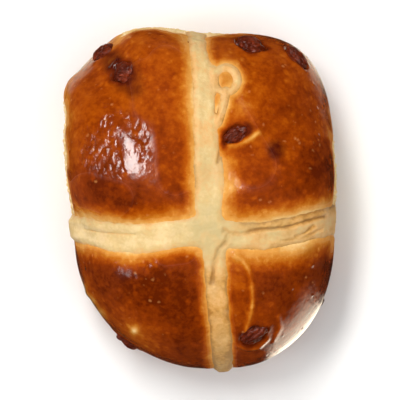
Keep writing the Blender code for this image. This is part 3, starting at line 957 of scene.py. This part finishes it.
@dataclass
class Crust:
    """The whole outside of the dough: puffed quarters, pockets, torn sides, pale foot and flat base.

    A contact is a share of a pressed side's spread, and the heights in millimetres between which it tore.
    """

    form: DoughForm
    fruit: Fruit
    finish: CrustFinish = CrustFinish()
    cells: int = 128
    groove: float = 0.9 * MM
    shoulder: float = 0.12 * MM
    pocket: float = 1.7 * MM
    lip: float = 0.22 * MM
    contact: tuple[Row, ...] = ((0.66, 4.0, 27.5), (0.70, 5.0, 29.0), (0.66, 4.0, 29.0))
    curl_halo: Place = (-0.4, 2.0)
    middle_bake: float = 0.645
    paste_bake: float = 0.13
    foot_bake: float = 0.34
    edge_bake: float = 0.22
    base_bake: float = 0.50
    crumb_bake: float = 0.04
    least_wrinkle: float = 0.12
    wrinkle_spread: Place = (1.05, 0.55)
    streak: PlanPath = PlanPath(((-21.0, 19.5), (-19.6, 15.0), (-18.4, 11.0), (-17.2, 7.5), (-16.8, 5.0)))
    grain: Grain = field(default_factory=lambda: Grain(11))

    def from_contact(self, points: Array) -> Array:
        """How far out points lie from the patches torn from neighbours: below 1 within them, and rising."""
        azimuth = np.arctan2(points[:, 1], points[:, 0])
        rough = self.grain.over(points)
        height = points[:, 2] / MM + 2.5 * rough(11.0)
        ragged = 0.16 * rough(9.0) + 0.07 * rough(3.2)
        nearest = np.full(len(points), 9.0)
        for side, (reach, low, high) in enumerate(self.contact):
            across = self.form.away_from_side(azimuth, side) / reach
            up = np.abs(height - (low + high) / 2.0) / ((high - low) / 2.0)
            nearest = np.minimum(nearest, (across**3.0 + up**3.0) ** (1.0 / 3.0) + ragged)
        return nearest

    def around_fruit(self, points: Array) -> tuple[Array, Array, Array]:
        """How the crust dips into pockets and rises in lips about the raisins.

        Args:
            points: The smooth skin.

        Returns:
            The rise of the crust, where it is damp and dark, and where it stretched thin.
        """
        rise, damp, thin = (np.zeros(len(points)) for _ in range(3))
        for number, (seat, opening) in enumerate(zip(self.fruit.seats(), self.fruit.openings)):
            local = (points - seat.middle) @ seat.axes.T
            wobble = 1.0 + 0.26 * self.grain.at(points + number, 3.0 * MM)
            share = np.hypot(*(local[:, :2] / (seat.sizes[:2] / 2.0)).T) * wobble
            near = mm_ramp(9.0, 6.0, np.abs(local[:, 2])) * (share < 3.0)
            inside = ramp(opening + 0.14, opening - 0.16, share) * near
            rim = hump(share - opening - 0.26, 0.20) * near
            rise += rim * self.lip - inside * self.pocket
            damp = np.maximum(damp, ramp(1.45, 0.75, share) * near)
            thin = np.maximum(thin, rim * (0.5 + 0.5 * self.grain.at(points, 1.5 * MM)))
        return rise, damp, thin

    def wrinkles(self, points: Array) -> Array:
        """How wrinkled the glaze is: most in patches on top, with one smooth streak in the largest."""
        wrinkle = np.full(len(points), self.least_wrinkle)
        far, near = self.wrinkle_spread
        uneven = 1.0 + 0.25 * self.grain.at(points, 5.0 * MM)
        for x, y, reach, strength in WRINKLES:
            away = from_place(points, x, y) * uneven
            wrinkle = np.maximum(wrinkle, strength * mm_ramp(far * reach, near * reach, away))
        return wrinkle * (1.0 - 0.95 * mm_ramp(3.2, 1.4, self.streak.away(points)))

    def bulging(self, points: Array) -> tuple[Array, Array]:
        """The rise and the stain of fruit that lies just under the crust."""
        rise, stain = np.zeros(len(points)), np.zeros(len(points))
        top = points[:, 2] > self.form.widest
        uneven = 1.0 + 0.15 * self.grain.at(points, 3.0 * MM)
        for x, y, reach, high, dark in BULGES:
            away = from_place(points, x, y) * uneven
            rise += np.where(top, hump(away, reach * MM), 0.0) * high * MM
            stained = np.where(top, ramp(reach * MM * 1.1, 0.3 * reach * MM, away), 0.0)
            stain = np.maximum(stain, dark * stained)
        return rise, stain

    def build(self) -> Piece:
        """Makes the crust, in place of the bun's solid."""
        aims, quads = AimGrid(self.cells).build()
        points = self.form.skin(aims)
        normals = outward(points, quads)
        rough = self.grain.over(points)
        gaps = self.form.paste_gaps(aims, points, self.grain)
        gap = self.form.joined(gaps)
        outside = self.from_contact(points)
        torn = ramp(1.06, 0.94, outside)
        fruit_rise, damp, thin = self.around_fruit(points)
        bulge_rise, stain = self.bulging(points)
        on_top = points[:, 2] > 20.0 * MM
        folds = [hump(PlanPath(fold.path).away(points), fold.spread * MM) * on_top for fold in FOLDS]
        base = mm_ramp(1.2, 0.2, points[:, 2])

        rise = self.shoulder * hump(gap - 1.5 * MM, 1.2 * MM) - self.groove * mm_ramp(-0.1, -0.9, gap)
        rise += fruit_rise + bulge_rise + sum(fold.rise * MM * share for fold, share in zip(FOLDS, folds))
        rise += 0.10 * MM * rough(19.0) + 0.03 * MM * rough(7.0)
        rise += (1.0 - torn) * 0.030 * MM * rough(2.6)
        strands = self.grain.over(points * (1.0, 1.0, 0.42))
        shreds = np.abs(strands(3.0)) + 0.5 * np.abs(strands(1.3))
        rise -= torn * (0.10 * MM + 0.75 * MM * shreds) - 0.30 * MM * ramp(1.0, 0.3, outside) * torn
        edge = ramp(1.42, 1.02, outside + 0.10 * rough(4.0))
        moved = points + normals * (rise * (1.0 - base))[:, None]
        moved[:, 2] = np.maximum(0.0, moved[:, 2])

        bake_and_painted_light = self.bake_and_painted_light(points, gaps, torn, edge, thin, damp)
        for fold, share in zip(FOLDS, folds):
            bake_and_painted_light = bake_and_painted_light * (1.0 - fold.paleness * share * (1.0 + 0.5 * rough(4.0)))
        glaze = (1.0 - torn) * (1.0 - base) * mm_ramp(4.0, 12.0, points[:, 2]) * (1.0 - 0.9 * edge)
        glaze *= 0.25 + 0.75 * mm_ramp(0.3, 3.0, gap)
        for path, dull, clear in DRY:
            glaze *= mm_ramp(dull, clear, path.away(points))
        marks = {
            Mark.BAKE: bake_and_painted_light,
            Mark.TORN: torn,
            Mark.STAIN: stain,
            Mark.GLAZE: glaze,
            Mark.LOOSE: torn**2,
            Mark.WRINKLE: self.wrinkles(points),
        }
        return present(surface_piece("crust", moved, quads, marks, self.finish.material()), Slot.CRUST, "bun")

    def bake_and_painted_light(self, points: Array, gaps: Array, torn: Array, edge: Array, thin: Array, damp: Array) -> Array:
        """How dark the crust is from place to place.

        Args:
            points: The smooth skin.
            gaps: The distances outside the long arm, the cross arm and the curl.
            torn: Where the dough is torn.
            edge: The border of the torn sides.
            thin: Where the skin stretched thin.
            damp: Where fruit darkened it.

        Returns:
            How dark the crust is, from 0 for pale crumb to 1 for dark brown: mostly oven browning, with some
            painted shade and painted highlight in it.
        """
        x, y, z = points.T
        rough = self.grain.over(points)
        uneven = 1.0 + 0.18 * rough(8.0) + 0.08 * rough(2.4)
        browned = ramp(*(part * MM for part in self.curl_halo), gaps[2])
        for arm, along, gap, halos in zip((self.form.long_arm, self.form.cross_arm), (y, x), gaps, HALOS):
            shares = [halo.share(along, gap, uneven) for halo in halos]
            browned = browned * np.where(arm.beside(points) < 0.0, *shares)
        middle = self.middle_bake + 0.125 * mm_ramp(30.0, 0.0, y) + 0.13 * mm_ramp(-10.0, -28.0, y)
        middle -= 0.07 * mm_ramp(2.0, 10.0, x) * mm_ramp(-8.0, -14.0, y)
        upper = mm_ramp(9.0, 19.0, z)
        patchy = 1.0 + 0.25 * rough(5.0)
        for tint_x, tint_y, reach, amount in TINTS:
            middle += amount * hump(from_place(points, tint_x, tint_y) * patchy, reach * MM) * upper
        browned = self.paste_bake + (middle - self.paste_bake) * browned
        bake_and_painted_light = browned + 0.05 * rough(14.0) + 0.30 * damp - 0.10 * thin
        foot = mm_ramp(13.0, 3.0, z + 2.0 * MM * rough(11.0))
        bake_and_painted_light = bake_and_painted_light * (1.0 - foot) + self.foot_bake * foot
        bake_and_painted_light = bake_and_painted_light * (1.0 - 0.85 * edge) + self.edge_bake * 0.85 * edge
        inside = ramp(0.20, 0.85, torn)
        crumb = self.crumb_bake + 0.05 * rough(5.0)
        bake_and_painted_light = bake_and_painted_light * (1.0 - inside) + crumb * inside
        base = mm_ramp(1.0, 0.1, z)
        return np.clip(bake_and_painted_light * (1.0 - base) + base * (self.base_bake + 0.10 * rough(10.0)), 0.0, 1.0)


# ---- Paste cross ----

# Dull spots: x, y and reach in millimetres, and how dull they are.
DULL: tuple[Row, ...] = (
    (3.0, -8.0, 10.0, 0.90), (2.2, 8.0, 9.0, 0.50), (-17.0, -10.0, 7.0, 0.25), (20.0, -9.0, 6.0, 0.40),
    (1.0, 27.0, 6.0, 0.30), (6.0, -41.0, 7.0, 0.25),
)
RIGHT_CRACK = PlanPath(((6.2, -8.4), (10.5, -9.0), (16.0, -7.6), (22.0, -7.2), (27.5, -5.6), (32.5, -4.2)))
FRONT_CRACK = PlanPath(
    ((6.4, -7.9), (7.4, -8.6), (6.9, -10.8), (5.2, -12.6), (4.2, -14.6), (3.6, -17.4), (3.2, -21.8))
)
# Cracks: a path, how wide each is in millimetres, and its share of the full depth.
CRACKS: tuple[tuple[PlanPath, float, float], ...] = (
    (RIGHT_CRACK, 0.46, 0.58),
    (FRONT_CRACK, 0.62, 0.66),
    (PlanPath(((25.0, -9.6), (27.5, -8.6), (29.5, -6.8))), 0.40, 0.50),
    (PlanPath(((21.0, -10.6), (27.0, -9.8), (32.0, -7.2))), 0.34, 0.30),
    (PlanPath(((5.6, 14.6), (5.3, 12.4), (4.7, 10.0))), 0.42, 0.85),
    (PlanPath(((4.7, 27.6), (4.6, 25.4), (4.3, 23.0))), 0.46, 0.95),
    (PlanPath(((-30.0, -7.6), (-24.0, -8.6), (-17.0, -9.0))), 0.30, 0.25),
)


@dataclass
class PasteCross:
    """The piped cross and its curl: one soft body that lies in the crust's groove."""

    form: DoughForm
    finish: PasteFinish = PasteFinish()
    cells: int = 190
    margin: float = 0.75 * MM
    crown: float = 0.60 * MM
    end_swell: float = 1.20 * MM
    rounding: float = 1.7 * MM
    depth: float = 1.35 * MM
    curl_crown: float = 0.12 * MM
    crack_depth: float = 0.85 * MM
    grain: Grain = field(default_factory=lambda: Grain(11))

    def thickness(self, points: Array, gap: Array) -> Array:
        """How far the paste's top stands above the smooth skin."""
        within = np.clip(-gap / self.rounding, 0.0, 1.0)
        swell = mm_ramp(31.0, 24.0, points[:, 2]) * mm_ramp(34.0, -30.0, points[:, 0])
        crown = self.crown + self.end_swell * swell * (points[:, 1] < 10.0 * MM)
        stands = crown * (0.30 * np.sqrt(1.0 - (1.0 - within) ** 2) + 0.70 * ramp(0.0, 1.0, within))
        curl = self.form.curl
        curled = np.clip(-curl.gap(points) / (curl.half_width * MM), 0.0, 1.0)
        stands += self.curl_crown * np.sqrt(1.0 - (1.0 - curled) ** 2)
        sinks = np.clip(gap, 0.0, None) * 1.1
        lumps = 0.22 * self.grain.at(points, 5.0 * MM) + 0.12 * self.grain.at(points, 2.0 * MM)
        return stands + lumps * MM * within - sinks - self.cracked(points) * self.crack_depth * (gap < 0.0)

    def cracked(self, points: Array) -> Array:
        """How deep the cracks in the paste are, from 0 to 1."""
        ragged = 1.0 + 0.5 * self.grain.at(points, 2.0 * MM)
        depths = [deep * hump(path.away(points) / ragged, wide * MM) for path, wide, deep in CRACKS]
        return np.max(depths, axis=0)

    def toasted_and_shaded(self, points: Array, gap: Array) -> Array:
        """How much the oven coloured the paste, most at edges and on the curl, and how far it is painted
        darker to the right and at the front, partly as painted shade where the paste faces away from the
        light.
        """
        x, y, _ = points.T
        toast_and_shade = 0.10 + 0.10 * mm_ramp(-2.4, -0.4, gap) + 0.34 * mm_ramp(-0.9, 0.1, gap)
        toast_and_shade += 0.14 * self.grain.at(points, 6.0 * MM)
        # Darker to the right and towards the front: partly painted shade, where the paste faces away from the
        # light.
        toast_and_shade += 0.16 * mm_ramp(-9.0, -1.0, x) + 0.12 * mm_ramp(4.0, 14.0, x)
        toast_and_shade += 0.10 * mm_ramp(2.0, 7.0, y) * mm_ramp(24.0, 16.0, y)
        toast_and_shade += 0.34 * mm_ramp(-13.0, -24.0, y) + 0.22 * mm_ramp(-34.0, -45.0, y)
        upper = mm_ramp(0.5, 2.5, self.form.cross_arm.beside(points))
        toast_and_shade += 0.25 * upper * mm_ramp(7.0, 12.0, x) * (y < 0.0)
        toast_and_shade = np.maximum(toast_and_shade, 0.46 * mm_ramp(0.6, -0.3, self.form.curl.gap(points)))
        # The cracks are also painted darker: painted shade in their recesses.
        return toast_and_shade + 0.85 * self.cracked(points)

    def dulled(self, points: Array) -> Array:
        """How dull and olive the paste is, from 0 to 1."""
        uneven = 1.0 + 0.3 * self.grain.at(points, 5.0 * MM)
        spots = [amount * hump(from_place(points, x, y) * uneven, reach * MM) for x, y, reach, amount in DULL]
        return np.max(spots, axis=0)

    def build(self) -> Piece:
        """Makes the cross, in place of its solid."""
        aims, quads = AimGrid(self.cells).build()
        points = self.form.skin(aims)
        normals = outward(points, quads)
        gap = self.form.joined(self.form.paste_gaps(aims, points, self.grain))
        quads = quads[(gap[quads] < self.margin).any(axis=1)]
        used, corners = np.unique(quads, return_inverse=True)
        quads = corners.reshape(quads.shape)
        points, normals, gap = points[used], normals[used], gap[used]
        top = points + normals * self.thickness(points, gap)[:, None]
        bottom = points - normals * self.depth
        count = len(used)
        ways = np.concatenate([quads[:, [side, (side + 1) % 4]] for side in range(4)])
        key = ways[:, 0] * count + ways[:, 1]
        border = ways[~np.isin(key, ways[:, 1] * count + ways[:, 0])]
        walls = np.stack([border[:, 0], border[:, 0] + count, border[:, 1] + count, border[:, 1]], axis=1)
        faces = np.concatenate([quads, quads[:, ::-1] + count, walls])
        glaze = np.clip(0.4 + 0.5 * self.grain.at(points, 8.0 * MM), 0.0, 1.0)
        carried = {Mark.TOAST_AND_SHADE: self.toasted_and_shaded(points, gap), Mark.STAIN: self.dulled(points), Mark.GLAZE: glaze}
        marks = {mark: np.tile(values, 2) for mark, values in carried.items()}
        both = np.concatenate([top, bottom])
        cross = surface_piece("piped_cross", both, faces, marks, self.finish.material())
        return present(cross, Slot.PASTE, "cross")


# ---- Small things scattered on the surfaces ----


@dataclass
class Scatter:
    """Many small things of one kind on a surface, as thick as the surface's mark says."""

    name: str
    mark: Mark
    density: float
    smallest: float
    largest: float
    flatness: float
    seed: int
    numbers: tuple[str, ...] = ("Density", "Smallest", "Largest", "Flatness")

    def maker(self) -> Maker:
        """The tree that strews lumps over its host."""
        m = Maker(self.name, self.numbers, ("Seed",))
        where = m.node("GeometryNodeInputNamedAttribute", {"Name": self.mark.value}, data_type="FLOAT")
        density, seed = where * m.given["Density"], m.given["Seed"]
        sockets = {"Mesh": m.given["Geometry"], "Density": density, "Seed": seed}
        spots = m.node("GeometryNodeDistributePointsOnFaces", sockets, "Points", distribute_method="RANDOM")
        lump = m.node("GeometryNodeMeshIcoSphere", {"Radius": 0.5, "Subdivisions": 2})
        place = m.node("GeometryNodeInputPosition", {})
        dent = m.node("ShaderNodeTexNoise", {"Vector": place, "Scale": 1.7})
        uneven = m.vector("SCALE", place, 0.55 + dent * 0.9)
        lump = m.node("GeometryNodeSetPosition", {"Geometry": lump, "Position": uneven})
        size = self.chance(m, m.given["Smallest"], m.given["Largest"])
        scale = m.node("ShaderNodeCombineXYZ", {0: size, 1: size * 0.8, 2: size * m.given["Flatness"]})
        spin = m.node("ShaderNodeCombineXYZ", {2: self.chance(m, 0.0, 2.0 * math.pi)})
        sockets = {"Rotation": spots["Rotation"], "Rotate By": spin}
        turned = m.node("FunctionNodeRotateRotation", sockets, rotation_space="LOCAL")
        sockets = {"Points": spots, "Instance": lump, "Rotation": turned, "Scale": scale}
        m.close(m.node("GeometryNodeInstanceOnPoints", sockets))
        return m

    def chance(self, m: Maker, low: Value, high: Value) -> Wire:
        """A random number for each lump."""
        sockets = {2: low, 3: high, "Seed": m.given["Seed"]}
        return m.node("FunctionNodeRandomValue", sockets, 1, data_type="FLOAT")

    def build(self, host: Piece, material: Material) -> Piece:
        """Strews lumps of a material over a host, and gives them all as one piece."""
        values = {label: getattr(self, label.lower()) for label in (*self.numbers, "Seed")}
        return present(self.maker().apply(self.name, host, {**values, "Finish": material}), Slot.CRUST)


# ---- Studio ----


@dataclass(frozen=True)
class Lamp:
    """A soft lamp: its direction and roll in degrees, its distance, its size, its power and its gloss."""

    name: str
    azimuth: float
    elevation: float
    roll: float
    away: float
    size: Place
    power: float
    shines: bool
    colour: Colour = (1.0, 1.0, 1.0)

    def hang(self, middle: Vector) -> None:
        """Puts the lamp in the scene, aimed at a middle."""
        data = bpy.data.lights.new(self.name, "AREA")
        data.shape = "RECTANGLE"
        data.size, data.size_y = self.size
        data.energy = self.power
        data.color = self.colour
        hung = bpy.data.objects.new(self.name, data)
        turn, rise = math.radians(self.azimuth), math.radians(self.elevation)
        way = Vector((math.cos(rise) * math.cos(turn), math.cos(rise) * math.sin(turn), math.sin(rise)))
        hung.location = middle + way * self.away
        aim = way.to_track_quat("Z", "Y").to_matrix() @ Matrix.Rotation(math.radians(self.roll), 3, "Z")
        hung.rotation_euler = aim.to_euler()
        hung.visible_glossy = self.shines
        hung.visible_camera = False
        bpy.context.scene.collection.objects.link(hung)


@dataclass(frozen=True)
class Studio:
    """A pale floor, soft lamps and a camera straight above the bun.

    A glow of the room is its azimuth in degrees, its strength, and the heights where it is full and gone.
    """

    middle: tuple[float, float, float] = (0.0, 0.0, 0.020)
    shown: float = 106.0 * MM
    camera_height: float = 2.2
    sensor: float = 36.0
    floor_half: float = 2.5
    floor_drop: float = 0.2 * MM
    lamps: tuple[Lamp, ...] = (
        Lamp("window", 118.0, 63.0, -40.0, 1.3, (0.24, 0.72), 11.2, True, (1.0, 0.98, 0.95)),
        Lamp("sky", 0.0, 90.0, 0.0, 2.4, (2.6, 2.6), 40.0, False),
        Lamp("side", -35.0, 40.0, 0.0, 1.8, (1.4, 1.4), 8.0, False),
        Lamp("door", -165.0, 31.0, 0.0, 1.5, (0.46, 0.38), 4.6, True),
    )
    glows: tuple[Row, ...] = ((-44.0, 3.6, -0.55, 0.0), (40.0, 1.1, -0.74, -0.48), (137.0, 0.9, -0.80, -0.55))
    glow_edges: Place = (0.915, 0.995)
    gloom: float = 0.015
    air: Colour = (1.0, 0.89, 0.69)

    def floor(self) -> None:
        """Lays the floor."""
        shape = bmesh.new()
        bmesh.ops.create_grid(shape, x_segments=1, y_segments=1, size=self.floor_half)
        mesh = bpy.data.meshes.new("floor")
        shape.to_mesh(mesh)
        shape.free()
        floor = placed("floor", mesh)
        floor.location.z = -self.floor_drop
        s = Surface("pale_floor")
        mesh.materials.append(s.finish(s.shader(Base_Color=(0.90, 0.90, 0.895), Roughness=0.75)))
        floor.visible_glossy = False

    def surroundings(self) -> None:
        """Makes the dim room, with glows low in it that the glaze mirrors."""
        world = bpy.data.worlds.new("studio")
        world.use_nodes = True
        b = Bench(world.node_tree)
        way = b.node("ShaderNodeTexCoord", {}, "Generated")
        parts = b.node("ShaderNodeSeparateXYZ", {0: way})
        across, along, height = (parts[axis] for axis in "XYZ")
        flat = (across * across + along * along + 0.0001) ** 0.5
        strength: Value = self.gloom
        for azimuth, level, low, high in self.glows:
            turn = math.radians(azimuth)
            facing = ((across * math.cos(turn) + along * math.sin(turn)) / flat).spread(*self.glow_edges)
            strength = height.spread(low, high, level, 0.0) * facing + strength
        glow = b.node("ShaderNodeBackground", {"Color": self.air, "Strength": strength})
        b.node("ShaderNodeOutputWorld", {"Surface": glow})
        bpy.context.scene.world = world

    def camera(self) -> None:
        """Sets the camera straight above the bun, its back at the top of the view."""
        data = bpy.data.cameras.new("camera")
        data.sensor_width = self.sensor
        data.lens = self.sensor * (self.camera_height - self.middle[2]) / self.shown
        data.clip_end = 20.0
        camera = bpy.data.objects.new("camera", data)
        camera.location = (self.middle[0], self.middle[1], self.camera_height)
        bpy.context.scene.collection.objects.link(camera)
        bpy.context.scene.camera = camera

    def build(self) -> None:
        """Makes the studio."""
        self.floor()
        for lamp in self.lamps:
            lamp.hang(Vector(self.middle))
        self.surroundings()
        self.camera()
        bpy.context.scene.view_settings.view_transform = "Standard"


def corners(box: Sequence[Sequence[float]]) -> list[list[float]]:
    """A box's corners as plain lists."""
    return [[float(part) for part in corner] for corner in box]


def main() -> None:
    """Builds the bun's looks around its solids."""
    logging.basicConfig(level=logging.INFO, format="%(name)s: %(message)s")
    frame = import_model()

    form = DoughForm(*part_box("bun"))
    fruit = Fruit(frame["nodes"])
    shell = Crust(form, fruit).build()
    PasteCross(form).build()
    fruit.build()
    torn_crumbs = Scatter("torn_crumbs", Mark.LOOSE, 1.1e5, 0.4 * MM, 1.5 * MM, 0.5, 4)
    torn_crumbs.build(shell, CrumbFinish().material())
    glaze_drops = Scatter("glaze_drops", Mark.GLAZE, 3.5e3, 0.35 * MM, 1.0 * MM, 0.35, 8)
    glaze_drops.build(shell, SyrupFinish().material())
    Studio().build()


if __name__ == "__main__":
    main()
